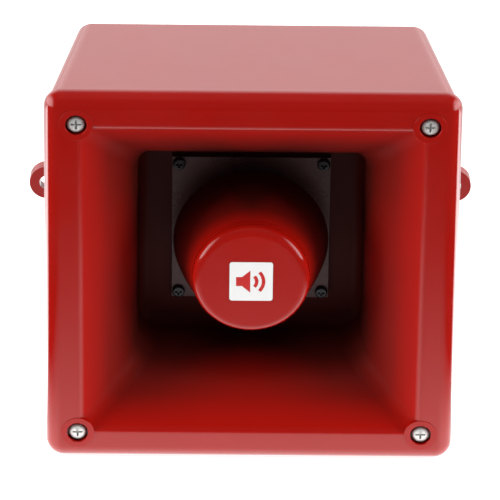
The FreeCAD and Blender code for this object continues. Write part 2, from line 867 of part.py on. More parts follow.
def driver():
    """The driver behind the flare's back wall, from its gasket to its rear can."""
    wall_back = "horn_depth + skin"
    face = f"{wall_back} + gasket_thickness"
    steel = f"{face} + driver_front_thickness"
    magnet = f"{steel} + steel_thickness"
    yoke = f"{magnet} + magnet_thickness"
    bolt_half = "driver_bolt_half"

    gaps = [rod("throat_radius + skin", wall_back, face)]
    for at in corners(bolt_half):
        gaps.append(rod("driver_bolt_radius + screw_clearance", wall_back, face, *at))
    ring = cut("DriverGasketRing", rod("driver_radius", wall_back, face), gaps)
    node(ring, "driver_gasket")

    front = turned(
        "driver_front",
        [
            ("throat_radius", face),
            ("driver_radius", face),
            ("driver_radius", steel),
            ("surround_radius + surround_gap", steel),
            ("surround_radius + surround_gap", "recess_bottom_depth"),
            ("plug_ring_radius", "recess_bottom_depth"),
            ("plug_ring_radius", "recess_bottom_depth - plug_ring_thickness"),
            ("throat_radius", "recess_bottom_depth - plug_ring_thickness"),
        ],
    )
    bolt_holes = cross_sketch(front, face)
    for x, z in corners(bolt_half):
        circle(bolt_holes, "driver_bolt_radius + screw_clearance", x, z)
    pocket(front, bolt_holes, "driver_front_thickness")
    node(front, "driver_front")

    ring_front = "recess_bottom_depth - plug_ring_thickness"
    hub = turned(
        "phase_plug",
        [
            ("0", f"{face} - skin"),
            ("plug_tip_radius", f"{face} - skin"),
            ("plug_base_radius", "recess_bottom_depth"),
            ("0", "recess_bottom_depth"),
        ],
    )
    spoke = cross_sketch(hub, ring_front)
    rectangle(spoke, "plug_ring_radius - plug_ring_wall / 2", "plug_ring_thickness / 2")
    pad(hub, spoke, "plug_ring_thickness")
    rim = cross_sketch(hub, ring_front)
    circle(rim, "plug_ring_radius - thread_clearance")
    circle(rim, "plug_ring_radius - plug_ring_wall")
    pad(hub, rim, "plug_ring_thickness")
    node(hub, "phase_plug")

    top_plate = turned(
        "top_plate",
        [
            ("gap_outer_radius", steel),
            ("steel_radius", steel),
            ("steel_radius", magnet),
            ("gap_outer_radius", magnet),
        ],
    )
    node(top_plate, "top_plate")
    magnet_ring = turned(
        "magnet_ring",
        [
            ("magnet_inner_radius", magnet),
            ("magnet_radius", magnet),
            ("magnet_radius", yoke),
            ("magnet_inner_radius", yoke),
        ],
    )
    node(magnet_ring, "magnet_ring")
    pole = turned(
        "pole_piece",
        [
            ("pole_vent_radius", f"{steel} + film_thickness"),
            ("pole_radius", f"{steel} + film_thickness"),
            ("pole_radius", yoke),
            ("steel_radius", yoke),
            ("steel_radius", f"{yoke} + steel_thickness"),
            ("pole_vent_radius", f"{yoke} + steel_thickness"),
        ],
    )
    node(pole, "pole_piece")
    can = turned(
        "driver_can",
        [
            ("can_radius - can_wall", steel),
            ("can_radius", steel),
            ("can_radius", "can_end_depth"),
            ("0", "can_end_depth"),
            ("0", "can_end_depth - can_wall"),
            ("can_radius - can_wall", "can_end_depth - can_wall"),
        ],
    )
    fillet(can, "can_wall / 2", lambda edge: lies_at(edge, value("can_end_depth")))
    node(can, "driver_can")

    bolts = []
    head_end = f"{steel} + driver_bolt_head_height"
    tip = "driver_bolt_tip_depth"
    for at in corners(bolt_half):
        head = rod("driver_bolt_head_radius", steel, head_end, *at)
        shank = rod("driver_bolt_radius - thread_clearance", tip, steel, *at)
        socket_start = f"{head_end} - driver_bolt_head_height / 2"
        socket = rod("driver_bolt_radius - screw_clearance", socket_start, head_end, *at)
        bolts.append(cut("DriverBolt", fuse("BoltBlank", [head, shank]), [socket]))
    group("driver_bolts", bolts)


def diaphragm():
    """The part that sounds: a domed film with its voice coil, inside a flexible surround."""
    base = "dome_base_depth"
    sphere = "dome_radius * dome_radius / dome_height / 2 + dome_height / 2"
    dome = turned(
        "diaphragm",
        [
            ("0", f"{base} - dome_height"),
            ("dome_radius", base, sphere),
            ("dome_radius", f"{base} + film_thickness"),
            ("0", f"{base} - dome_height + film_thickness", f"-({sphere})"),
        ],
    )
    node(dome, "diaphragm")
    coil = turned(
        "voice_coil",
        [
            ("coil_inner_radius", f"{base} + film_thickness"),
            ("dome_radius", f"{base} + film_thickness"),
            ("dome_radius", "coil_end_depth"),
            ("coil_inner_radius", "coil_end_depth"),
        ],
    )
    node(coil, "voice_coil")
    inner = "dome_radius + surround_gap"
    surround = turned(
        "diaphragm_surround",
        [
            (inner, base),
            ("surround_radius", base, "surround_radius - dome_radius"),
            ("surround_radius", f"{base} + film_thickness"),
            (inner, f"{base} + film_thickness", "-(surround_radius - dome_radius)"),
        ],
    )
    node(surround, "diaphragm_surround")


# ---------------------------------------------------------------- rear housing


def taper(wedge, front_half, rear_half, end):
    """Size a wedge as a square block that narrows from the bezel to an end depth."""
    bind(wedge, Ymin="bezel_depth", Ymax=end)
    for axis in "XZ":
        wedge.setExpression(f"{axis}min", cells(f"-({front_half})"))
        wedge.setExpression(f"{axis}max", cells(front_half))
        wedge.setExpression(f"{axis}2min", cells(f"-({rear_half})"))
        wedge.setExpression(f"{axis}2max", cells(rear_half))


def rear_housing():
    """The tapered box that holds everything, with the two fixing lugs on its rear face."""
    body = new_body("rear_housing")
    box = body.newObject("PartDesign::AdditiveWedge", "Taper")
    front_half = "housing_front / 2"
    rear_half = "housing_rear / 2"
    taper(box, front_half, rear_half, "overall_depth")
    doc.recompute()
    depth = value("overall_depth")
    fillet(body, "housing_corner", lambda edge: edge.BoundBox.YLength > 10)
    fillet(body, "housing_rear_round", lambda edge: abs(edge.BoundBox.YMin - depth) < 0.01)
    hollow = body.newObject("PartDesign::SubtractiveWedge", "Hollow")
    taper(hollow, f"{front_half} - wall", f"{rear_half} - wall", "overall_depth - wall")
    doc.recompute()

    def inner_corner(edge):
        centre = edge.CenterOfMass
        return edge.BoundBox.YLength > 10 and abs(abs(centre.x) - abs(centre.z)) < 0.1

    fillet(body, "housing_corner - wall", inner_corner)

    rim = cross_sketch(body, "bezel_depth")
    rounded_square(rim, "groove_outer_half + seal_gap", "rim_corner")
    rounded_square(rim, "rim_half", "rim_corner / 2")
    pad(body, rim, "rim_end_depth - bezel_depth")
    posts = cross_sketch(body, "bezel_depth")
    for x, z in corners("screw_half"):
        circle(posts, "post_radius", x, z)
    pad(body, posts, "post_end_depth - bezel_depth")
    for upright in (False, True):
        webs = cross_sketch(body, "bezel_depth")
        for x_side in ("", "-"):
            for z_side in ("", "-"):
                post_web(webs, x_side, z_side, upright)
        pad(body, webs, "post_end_depth - bezel_depth")
    groove = cross_sketch(body, "bezel_depth")
    rounded_square(groove, "groove_outer_half", "rim_corner")
    rounded_square(groove, "channel_half", "rim_corner / 2")
    pocket(body, groove, "groove_depth")
    sockets = cross_sketch(body, "bezel_depth")
    for x, z in corners("screw_half"):
        circle(sockets, "insert_radius", x, z)
    pocket(body, sockets, "screw_end_depth + skin - bezel_depth")
    panel = cross_sketch(body, "overall_depth")
    rounded_square(panel, "rear_recess_half", "housing_corner")
    pocket(body, panel, "rear_recess_depth", backwards=False)
    lugs(body)
    cable_entries(body)
    return node(body, "rear_housing")


def post_web(sketch, x_side, z_side, upright):
    """The outline of a web that ties a screw post to the wall beside, above or below it."""
    corner_points = [("screw_half", "-"), ("web_reach", "-"), ("web_reach", "+"), ("screw_half", "+")]
    points = []
    for reach, edge in corner_points:
        across = f"(screw_half {edge} web_thickness / 2)"
        x, z = (across, f"({reach})") if upright else (f"({reach})", across)
        points.append((x_side + x, z_side + z))
    outline(sketch, points)


def lugs(body):
    """A round-ended lug on each side, flush with the rear face, with its fixing hole."""
    front = "overall_depth - lug_thickness"
    root = "housing_rear / 2 - wall / 2"
    for side in ("", "-"):
        tab = cross_sketch(body, front)
        turn = "lug_radius" if side == "" else "-lug_radius"
        outline(
            tab,
            [
                (f"{side}({root})", "-lug_radius"),
                (f"{side}lug_half_spacing", "-lug_radius"),
                (f"{side}(lug_half_spacing + lug_radius)", "0", turn),
                (f"{side}lug_half_spacing", "lug_radius", turn),
                (f"{side}({root})", "lug_radius"),
            ],
        )
        pad(body, tab, "lug_thickness")
        hole = circle(cross_sketch(body, front), "lug_hole_radius", f"{side}lug_half_spacing")
        pocket(body, hole, "lug_thickness")


def cable_entries(body):
    """Two threaded entries in the bottom wall, each with a flat seat let into the taper."""
    rise = "entry_seat_drop - entry_boss_top"

    def round_at(drop, radius, side):
        sketch = plane_sketch(body, "XY_Plane", f"-{drop}")
        return circle(sketch, radius, f"{side}entry_half_spacing", "entry_depth")

    for side in ("", "-"):
        pad(body, round_at("entry_boss_top", "entry_boss_radius", side), f"{rise} + skin / 2")
        seat = round_at("entry_seat_drop", "entry_seat_radius", side)
        pocket(body, seat, "face_size / 2 - entry_seat_drop")
        pocket(body, round_at("entry_boss_top", "entry_radius", side), f"{rise} + wall")


def housing_fittings():
    """The seal in the housing's rim and the threaded inserts in its posts."""
    seal = new_body("cover_seal")
    ring = cross_sketch(seal, "bezel_depth + seal_gap")
    rounded_square(ring, "groove_outer_half - seal_gap", "rim_corner")
    rounded_square(ring, "channel_half + seal_gap", "rim_corner / 2")
    pad(seal, ring, "groove_depth - seal_gap")
    node(seal, "cover_seal")

    inserts = []
    reach = ("insert_start_depth", "insert_end_depth")
    for at in corners("screw_half"):
        thread = rod("screw_radius + thread_clearance", *reach, *at)
        inserts.append(cut("Insert", rod("insert_radius", *reach, *at), [thread]))
    group("corner_inserts", inserts)


def stopping_plug():
    """The plug that closes the cable entry that isn't used, with its sealing ring."""
    face = "entry_seat_drop + plug_seal_height"
    end = f"-({face} + plug_head_height)"
    tip = "-(entry_boss_top + plug_reach)"
    floor = "-(entry_seat_drop - plug_seal_height)"
    plug = turned(
        "stopping_plug",
        [
            ("0", end),
            ("plug_head_radius", end),
            ("plug_head_radius + plug_head_round", f"-({face})"),
            ("entry_radius - thread_clearance", f"-({face})"),
            ("entry_radius - thread_clearance", tip),
            ("entry_radius - wall", tip),
            ("entry_radius - wall", floor),
            ("0", floor),
        ],
        about="up",
    )
    ring = turned(
        "plug_seal",
        [
            ("entry_radius + thread_clearance", f"-({face})"),
            ("plug_seal_radius", f"-({face})"),
            ("plug_seal_radius", "-entry_seat_drop"),
            ("entry_radius + thread_clearance", "-entry_seat_drop"),
        ],
        about="up",
    )
    for body in (plug, ring):
        bind(
            body,
            Placement__Base__x="entry_half_spacing",
            Placement__Base__y="entry_depth - overall_depth",
        )
    slot = plane_sketch(plug, "XY_Plane", end)
    rectangle(slot, "entry_radius - wall", "plug_slot_width / 2")
    pocket(plug, slot, "plug_slot_depth", backwards=False)
    node(plug, "stopping_plug")
    node(ring, "plug_seal")


# ---------------------------------------------------------------- circuit board


def circuit_board():
    """The board on its spacers, parallel to the rear wall."""
    body = new_body("circuit_board")
    board = cross_sketch(body, "board_depth")
    rectangle(board, "board_width / 2", "board_height / 2")
    pad(body, board, "board_thickness")
    holes = cross_sketch(body, "board_depth")
    for x, z in corners("board_screw_across", "board_screw_up"):
        circle(holes, "board_screw_radius + thread_clearance", x, z)
    pocket(body, holes, "board_thickness")
    node(body, "circuit_board")

    back = "board_depth + board_thickness"
    floor = "overall_depth - wall"
    spacers, screws = [], []
    for at in corners("board_screw_across", "board_screw_up"):
        column = rod("spacer_radius", back, floor, *at)
        bore = rod("board_screw_radius + thread_clearance", back, floor, *at)
        spacers.append(cut("Spacer", column, [bore]))
        screws.append(
            pan_screw(
                at,
                "board_depth - board_screw_head_height",
                "board_depth",
                f"{floor} - film_thickness",
                "board_screw_head_radius",
                "board_screw_radius",
            )
        )
    group("board_spacers", spacers)
    group("board_screws", screws)


def on_board(x, z, width, height, rise, gap="0"):
    """A box that stands forward of the board, with an optional gap under it."""
    foot = f"board_depth - ({gap})"
    return block(x, z, f"{foot} - ({rise})", foot, width, height)


def terminal_block(name, ways, centre):
    """One row of screw terminals, with a clamping screw and a wire entry for each way."""
    moulding = on_board(
        str(centre), "terminal_up", f"terminal_pitch * {ways}", "terminal_width", "terminal_rise"
    )
    top = "board_depth - terminal_rise"
    well_end = f"{top} + terminal_well_depth"
    screw_top = f"{top} + terminal_screw_sink"
    entry = (f"{top} + wire_entry_start", f"{top} + wire_entry_end")
    holes, screws = [], []
    for way in range(ways):
        x = f"{centre} + terminal_pitch * {way - (ways - 1) / 2}"
        at = (x, "terminal_screw_up")
        holes.append(rod("terminal_well_radius", top, well_end, *at))
        holes.append(block(x, "wire_entry_up", *entry, "wire_entry_size", "wire_entry_size"))
        screw = rod("terminal_screw_radius", screw_top, f"{well_end} - rotor_clearance", *at)
        slot_end = f"{screw_top} + terminal_slot_width"
        span = "terminal_screw_radius * 2 + skin"
        slot = block(*at, screw_top, slot_end, span, "terminal_slot_width")
        screws.append(cut("TerminalScrew", screw, [slot]))
    node(cut(name + "_moulding", moulding, holes), name)
    group(name + "_screws", screws)


def tone_selector():
    """A row of small sliders that choose the tone, in one switch body."""
    count = int(value("slider_count"))
    length = "slider_count * slider_pitch + switch_margin * 2"
    body = on_board("switch_across", "switch_up", length, "switch_height", "switch_rise")
    top = "board_depth - switch_rise"
    well_end = f"{top} + slider_well_depth"
    width = "slider_width + slider_clearance * 2"
    run = "slider_travel + slider_height + slider_clearance * 2"
    down = "switch_up - slider_travel / 2"
    wells = []
    for number in range(count):
        x = f"switch_across + slider_pitch * {number - (count - 1) / 2}"
        wells.append(block(x, "switch_up", top, well_end, width, run))
        ends = (f"{top} - slider_stand", f"{top} + slider_root")
        slider = block(x, down, *ends, "slider_width", "slider_height")
        node(slider, f"tone_slider_{number + 1}")
    node(cut("tone_switch_moulding", body, wells), "tone_switch")


def volume_control():
    """A trimmer potentiometer: a square body, and a slotted rotor turned with a screwdriver."""
    at = ("trimmer_across", "trimmer_up")
    top = "board_depth - trimmer_rise"
    face = f"{top} - rotor_stand"
    body = on_board(*at, "trimmer_size", "trimmer_size", "trimmer_rise")
    well = rod("rotor_radius + rotor_clearance / 2", top, f"{top} + rotor_well_depth", *at)
    node(cut("volume_moulding", body, [well]), "volume_control")
    rotor = rod("rotor_radius", face, f"{top} + rotor_well_depth - rotor_clearance * 2", *at)
    slot_end = f"{face} + rotor_slot_width * 1.5"
    slot = block(*at, face, slot_end, "rotor_radius * 1.7", "rotor_slot_width")
    node(cut("volume_slot", rotor, [slot]), "volume_rotor")


def transformer():
    """The output transformer: a laminated core and the winding on its middle leg."""
    x, z = "core_across", "core_up"
    leg = "core_window_up * 2 - core_window"
    stack = on_board(x, z, "core_width", "core_length", "core_rise", "board_gap")
    windows = []
    for side in ("+", "-"):
        middle = f"{z} {side} core_window_up"
        size = ("core_width + board_gap", "core_window", "core_window_rise")
        windows.append(on_board(x, middle, *size, "board_gap + core_yoke"))
    node(cut("core_stack", stack, windows), "transformer_core")
    clear = "winding_clearance"
    size = ("winding_width", "winding_length", "winding_rise")
    winding = on_board(x, z, *size, f"board_gap + core_yoke + {clear}")
    opening = (f"core_width + {clear}", f"{leg} + {clear}", "core_window_rise + board_gap")
    coil = cut("winding_open", winding, [on_board(x, z, *opening, "core_yoke")])
    node(coil, "transformer_winding")


def power_stage():
    """Reservoir capacitors, and the output transistor on its finned heat sink."""
    cans = []
    for step in (-1, 0, 1):
        z = f"capacitor_up + capacitor_pitch * {step}"
        ends = ("board_depth - capacitor_rise", "board_depth - solder_gap")
        cans.append(rod("capacitor_radius", *ends, "capacitor_across", z))
    group("capacitors", cans)

    across = "sink_across + sink_base / 2 + sink_fin_length / 2 - film_thickness / 5"
    rise = ("sink_rise", "film_thickness")
    base = on_board("sink_across", "sink_up", "sink_base", "sink_height", *rise)
    fins = []
    for step in (-2, -1, 0, 1, 2):
        z = f"sink_up + sink_fin_pitch * {step}"
        fins.append(on_board(across, z, "sink_fin_length", "sink_fin_thickness", *rise))
    node(fuse("heat_sink_fins", [base, *fins]), "heat_sink")
    side = "sink_across - sink_base / 2 - transistor_width / 2 - thread_clearance * 2"
    size = ("transistor_width", "transistor_height", "transistor_rise", "transistor_gap")
    node(on_board(side, "sink_up", *size), "power_transistor")


def supply_and_controller():
    """The fuse in its two clips, and the chip that makes the tones."""
    chip = ("chip_width", "chip_height", "chip_rise", "solder_gap")
    node(on_board("0", "chip_up", *chip), "controller_chip")
    clips = []
    for side in ("+", "-"):
        x = f"fuse_across {side} clip_half_spacing"
        clip = on_board(x, "fuse_up", "clip_width", "clip_width", "clip_rise")
        clips.append(cut("FuseClip", clip, [fuse_tube("fuse_radius + thread_clearance")]))
    group("fuse_clips", clips)
    node(fuse_tube("fuse_radius"), "fuse_link")


def fuse_tube(radius):
    """A round cartridge that lies along X in the fuse clips."""
    tube = doc.addObject("Part::Cylinder", "Cartridge")
    tube.Placement = Placement(Vector(), Rotation(Vector(0, 1, 0), 90))
    bind(
        tube,
        Radius=radius,
        Height="fuse_length",
        Placement__Base__x="fuse_across - fuse_length / 2",
        Placement__Base__y="board_depth - fuse_lift - overall_depth",
        Placement__Base__z="fuse_up",
    )
    return tube


def driver_wiring():
    """Tabs on the driver's can, and the plug-in lead from them to the board."""
    tab_depth = "can_end_depth - lead_inset"
    tab_up = "can_radius + tab_length / 2 - tab_embed"
    tab = (tab_depth, f"{tab_depth} + tab_thickness", "tab_width", "tab_length")
    tabs, wires, pins, sockets = [], [], [], []
    for side in ("+", "-"):
        tabs.append(block(f"{side}tab_half_spacing", tab_up, *tab))
        wires.append(lead(side))
        at = (f"header_across {side} pin_half_spacing", "header_up")
        pins.append(rod("pin_radius", "board_depth - pin_rise", "board_depth - header_rise", *at))
        socket = ("board_depth - pin_rise - pin_half_spacing", "board_depth - plug_gap")
        sockets.append(rod("pin_radius + thread_clearance", *socket, *at))
    group("driver_tabs", tabs)
    group("driver_lead", wires)
    middle = ("header_across", "header_up")
    header = on_board(*middle, "header_width", "header_height", "header_rise")
    node(fuse("lead_header_pins", [header, *pins]), "lead_header")
    size = ("header_width - plug_trim", "header_height - plug_trim", "plug_rise", "plug_gap")
    node(cut("lead_plug_sockets", on_board(*middle, *size), sockets), "lead_plug")


def lead(side):
    """One insulated wire, from its tab over to the plug."""
    tab_x = value(f"{side}tab_half_spacing")
    plug_x = value(f"header_across {side} pin_half_spacing")
    plug_z = value("header_up")
    tab_z = value("can_radius + tab_length - tab_embed")
    tab_y = value("can_end_depth - lead_inset + tab_thickness / 2 - overall_depth")
    plug_y = value("board_depth - plug_gap - plug_rise - overall_depth")
    lift = tab_z + value("lead_lift") + (value("skin") if side == "-" else 0)
    front = tab_y - value("lead_step")
    route = [
        Vector(tab_x, tab_y, tab_z),
        Vector(tab_x, tab_y, lift),
        Vector(tab_x, front, lift),
        Vector(plug_x, front, lift if side == "-" else plug_z),
        Vector(plug_x, plug_y, plug_z),
    ]
    ring = Part.Circle(route[0], route[1] - route[0], value("lead_radius")).toShape()
    wire = doc.addObject("Part::Feature", "Wire")
    wire.Shape = bent_path(route, value("lead_bend")).makePipeShell([Part.Wire(ring)], True, False)
    return wire


def bent_path(route, bend):
    """A path through the route's corners, each replaced by an arc that starts one bend before."""
    edges = []
    at = route[0]
    for before, corner, after in zip(route, route[1:], route[2:]):
        into = (corner - before).normalize()
        out = (after - corner).normalize()
        first = corner - into * bend
        last = corner + out * bend
        turn = math.acos(max(-1, min(1, into.dot(out))))
        towards_centre = (out - into).normalize()
        arc_radius = bend / math.tan(turn / 2)
        centre = corner + towards_centre * math.hypot(bend, arc_radius)
        middle = centre - towards_centre * arc_radius
        edges.append(Part.LineSegment(at, first).toShape())
        edges.append(Part.Arc(first, middle, last).toShape())
        at = last
    edges.append(Part.LineSegment(at, route[-1]).toShape())
    return Part.Wire(edges)


# ---------------------------------------------------------------- assembly and export

rear_housing()
housing_fittings()
stopping_plug()
circuit_board()
terminal_block("supply_terminals", ways=4, centre=30)
terminal_block("control_terminals", ways=5, centre=-12)
tone_selector()
volume_control()
transformer()
power_stage()
supply_and_controller()
horn_front()
front_fasteners()
throat_plate()
throat_tube()
bell_reflector()
nose_badge()
driver()
diaphragm()
driver_wiring()
doc.recompute()

for thing in doc.Objects:
    faults = [state for state in thing.State if state in ("Invalid", "Error")]
    if faults:
        raise RuntimeError(f"{thing.Name} ({thing.Label}) is {faults}")
for thing in NODES:
    if thing.Shape.isNull() or not thing.Shape.isValid() or not thing.Shape.Solids:
        raise RuntimeError(f"{thing.Label} has no valid solid")

os.makedirs("parts", exist_ok=True)
for thing in NODES:
    thing.Shape.exportStep(f"parts/{thing.Label}.step")
    print(f"{thing.Label}: {len(thing.Shape.Solids)} solids, {thing.Shape.Volume:.0f} mm3")
print(len(NODES), "nodes")
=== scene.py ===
import json
import math

import bmesh
import bpy
from mathutils import Matrix, Vector


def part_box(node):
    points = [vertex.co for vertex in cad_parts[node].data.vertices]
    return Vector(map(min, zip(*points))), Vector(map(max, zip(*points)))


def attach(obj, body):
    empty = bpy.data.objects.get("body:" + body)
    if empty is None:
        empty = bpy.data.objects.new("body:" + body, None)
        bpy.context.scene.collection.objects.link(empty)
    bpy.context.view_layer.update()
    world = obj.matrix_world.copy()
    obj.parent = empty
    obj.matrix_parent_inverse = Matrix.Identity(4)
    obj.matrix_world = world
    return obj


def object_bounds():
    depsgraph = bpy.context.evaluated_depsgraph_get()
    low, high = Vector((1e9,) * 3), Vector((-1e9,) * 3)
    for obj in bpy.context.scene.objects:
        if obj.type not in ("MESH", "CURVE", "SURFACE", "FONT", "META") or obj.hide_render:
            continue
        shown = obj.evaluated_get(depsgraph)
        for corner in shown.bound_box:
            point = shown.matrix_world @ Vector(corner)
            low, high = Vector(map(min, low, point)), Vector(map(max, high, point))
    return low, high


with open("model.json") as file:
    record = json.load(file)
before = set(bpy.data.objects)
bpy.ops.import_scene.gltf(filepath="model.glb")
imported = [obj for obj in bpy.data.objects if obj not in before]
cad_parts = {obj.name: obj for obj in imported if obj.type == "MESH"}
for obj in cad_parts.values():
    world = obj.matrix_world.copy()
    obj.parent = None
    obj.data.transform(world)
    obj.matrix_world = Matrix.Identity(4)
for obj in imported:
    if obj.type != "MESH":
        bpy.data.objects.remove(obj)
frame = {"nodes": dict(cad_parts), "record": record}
cad_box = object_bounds()
nodes = frame["nodes"]

# ---------------------------------------------------------------- camera

# lengths in metres, except the lens and the sensor in millimetres; angles in radians
LENS = 345.98
SENSOR = 36.0
ELEVATION = math.radians(28.0)
YAW = 0.01
ROLL = 0.0135
DISTANCE = 2.094
AHEAD_OF_BADGE = 0.0013
AIM_RAISE = 0.0144
AIM_SHIFT = -0.0005
FAR_CLIP = 20


def aim_camera():
    """A long lens ahead of the mouth and above it, turned and tilted very slightly."""
    middle = (cad_box[0].z + cad_box[1].z) / 2
    face = Vector((0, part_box("nose_badge")[0].y - AHEAD_OF_BADGE, middle))
    forward = Vector((
        math.sin(YAW) * math.cos(ELEVATION),
        math.cos(YAW) * math.cos(ELEVATION),
        -math.sin(ELEVATION),
    ))
    level = forward.cross(Vector((0, 0, 1))).normalized()
    upright = level.cross(forward)
    right = level * math.cos(ROLL) + upright * math.sin(ROLL)
    up = upright * math.cos(ROLL) - level * math.sin(ROLL)
    target = face + up * AIM_RAISE + right * AIM_SHIFT
    camera = bpy.data.objects.new("Camera", bpy.data.cameras.new("Camera"))
    camera.data.lens = LENS
    camera.data.sensor_width = SENSOR
    camera.data.clip_end = FAR_CLIP
    turn = Matrix((right, up, -forward)).transposed().to_4x4()
    camera.matrix_world = Matrix.Translation(target - forward * DISTANCE) @ turn
    bpy.context.scene.collection.objects.link(camera)
    bpy.context.scene.camera = camera


# ---------------------------------------------------------------- shader helpers


class Graph:
    """A node tree, with short calls for the nodes that are added to it."""

    def __init__(self, tree):
        self.tree = tree

    def add(self, kind, **settings):
        made = self.tree.nodes.new("ShaderNode" + kind)
        for name, value in settings.items():
            setattr(made, name, value)
        return made

    def join(self, source, target):
        self.tree.links.new(source, target)

    def axes(self, vector):
        """The X, Y and Z outputs of a vector."""
        split = self.add("SeparateXYZ")
        self.join(vector, split.inputs["Vector"])
        return split.outputs

    def span(self, source, low, high, start=0.0, end=1.0, **settings):
        """A value carried from the range start to end into the range low to high."""
        made = self.add("MapRange", **settings)
        for name, value in (
            ("From Min", start), ("From Max", end), ("To Min", low), ("To Max", high)
        ):
            made.inputs[name].default_value = value
        self.join(source, made.inputs["Value"])
        return made.outputs["Result"]

    def math(self, operation, *values):
        """A math node over numbers or outputs."""
        made = self.add("Math", operation=operation)
        for socket, value in zip(made.inputs, values):
            if isinstance(value, (int, float)):
                socket.default_value = value
            else:
                self.join(value, socket)
        return made.outputs[0]


class Shader(Graph):
    """A Principled material, with short calls for the patterns that feed it."""

    def __init__(self, name, **even):
        self.material = bpy.data.materials.new(name)
        self.material.use_nodes = True
        super().__init__(self.material.node_tree)
        self.surface = self.tree.nodes["Principled BSDF"]
        for socket, value in even.items():
            self.surface.inputs[socket.replace("_", " ")].default_value = value
        self.place = self.add("TexCoord").outputs["Object"]

    def stretched(self, x=1, y=1, z=1):
        """The place, scaled along each axis."""
        mapping = self.add("Mapping")
        mapping.inputs["Scale"].default_value = (x, y, z)
        self.join(self.place, mapping.inputs["Vector"])
        return mapping.outputs["Vector"]

    def noise(self, scale, detail=3.0, place=None):
        made = self.add("TexNoise")
        made.inputs["Scale"].default_value = scale
        made.inputs["Detail"].default_value = detail
        self.join(place or self.place, made.inputs["Vector"])
        return made.outputs["Fac"]

    def bands(self, scale, direction="X", distortion=0.0):
        made = self.add("TexWave", bands_direction=direction)
        made.inputs["Scale"].default_value = scale
        made.inputs["Distortion"].default_value = distortion
        self.join(self.place, made.inputs["Vector"])
        return made.outputs["Fac"]

    def mixed(self, factor, first, second):
        """Two colours, or colour outputs, mixed by a factor."""
        made = self.add("Mix", data_type="RGBA")
        self.join(factor, made.inputs["Factor"])
        for socket, colour in ((made.inputs[6], first), (made.inputs[7], second)):
            if isinstance(colour, tuple):
                socket.default_value = (*colour, 1)
            else:
                self.join(colour, socket)
        return made.outputs[2]

    def colour(self, output):
        self.join(output, self.surface.inputs["Base Color"])

    def gloss(self, output):
        self.join(output, self.surface.inputs["Roughness"])

    def relief(self, height, distance, strength=1.0):
        """Fine surface relief from a height; distance is the full height in metres."""
        bump = self.add("Bump")
        bump.inputs["Distance"].default_value = distance
        bump.inputs["Strength"].default_value = strength
        self.join(height, bump.inputs["Height"])
        previous = self.surface.inputs["Normal"]
        if previous.is_linked:
            self.join(previous.links[0].from_socket, bump.inputs["Normal"])
        self.join(bump.outputs["Normal"], previous)


def shade(value, factor):
    """A colour made lighter or darker."""
    return tuple(min(1.0, channel * factor) for channel in value)


# ---------------------------------------------------------------- materials


def flow_marks(made, colour):
    """The colour of moulded plastic: a faint cloud and long flow marks."""
    drift = made.noise(35, 4)
    flow = made.noise(14, 5, made.stretched(6, 1, 1))
    cloud = made.mixed(drift, shade(colour, 0.94), shade(colour, 1.05))
    return made.mixed(made.span(flow, 0, 0.35), cloud, shade(colour, 0.86))


def smears(made, rough):
    """A roughness that varies with wide smears from handling."""
    return made.span(made.noise(55, 3), rough * 0.8, rough * 1.15, 0.3, 0.7)


def ripple(made):
    """The relief of moulded plastic: a slight ripple and a fine grain."""
    made.relief(made.noise(160, 2), 0.00003)
    made.relief(made.noise(2600, 3), 0.000004)


def moulded(name, colour, rough, **even):
    """Glossy moulded plastic: faint flow marks, a slight ripple and fine handling marks."""
    made = Shader(name, **even)
    made.colour(flow_marks(made, colour))
    marks = made.span(made.noise(900, 6), -0.02, 0.03, 0.35, 0.7)
    made.gloss(made.math("ADD", smears(made, rough), marks))
    ripple(made)
    return made.material


def inside_horn(made, spot, depth, start):
    """1 past a depth inside the mouth, on surfaces that face the mouth, and 0 elsewhere."""
    reach = made.math(
        "MAXIMUM", made.math("ABSOLUTE", spot["X"]), made.math("ABSOLUTE", spot["Z"])
    )
    within = made.span(reach, 1, 0, MOUTH_HALF, MOUTH_HALF + LIP_DEPTH)
    past = made.span(depth, 0, 1, start, start + LIP_DEPTH)
    facing = made.axes(made.add("NewGeometry").outputs["Normal"])["Y"]
    inside = made.math("MULTIPLY", within, past)
    return made.math("MULTIPLY", inside, made.span(facing, 1, 0, *BACKSIDE))


def horn_painted_shade(made, spot, depth, start, lip_shade, crease_shade):
    """Painted shade that darkens with depth, sooner under the ceiling, and more in the creases.
    """
    across = made.math("ABSOLUTE", spot["X"])
    up = made.math("ABSOLUTE", spot["Z"])
    off_crease = made.math("ABSOLUTE", made.math("SUBTRACT", across, up))
    crease = made.span(off_crease, crease_shade, 0, *CREASE_REACH)
    early = made.span(depth, 0, lip_shade, start + LIP_DEPTH, start + LIP_SHADE_DEPTH)
    above = made.math("SUBTRACT", spot["Z"], across)
    sooner = made.span(above, 1, OVERHEAD_SHADE, *OVERHEAD_SPAN)
    deep = made.span(made.math("MULTIPLY", depth, sooner), 0, 1, *DEEP_SHADE_DEPTHS)
    # painted shade: how far the red is darkened, from the depth terms and the crease term
    shade_amount = made.math("MULTIPLY", made.math("ADD", early, deep), made.math("ADD", crease, 1))
    return made.math("MINIMUM", shade_amount, 1)


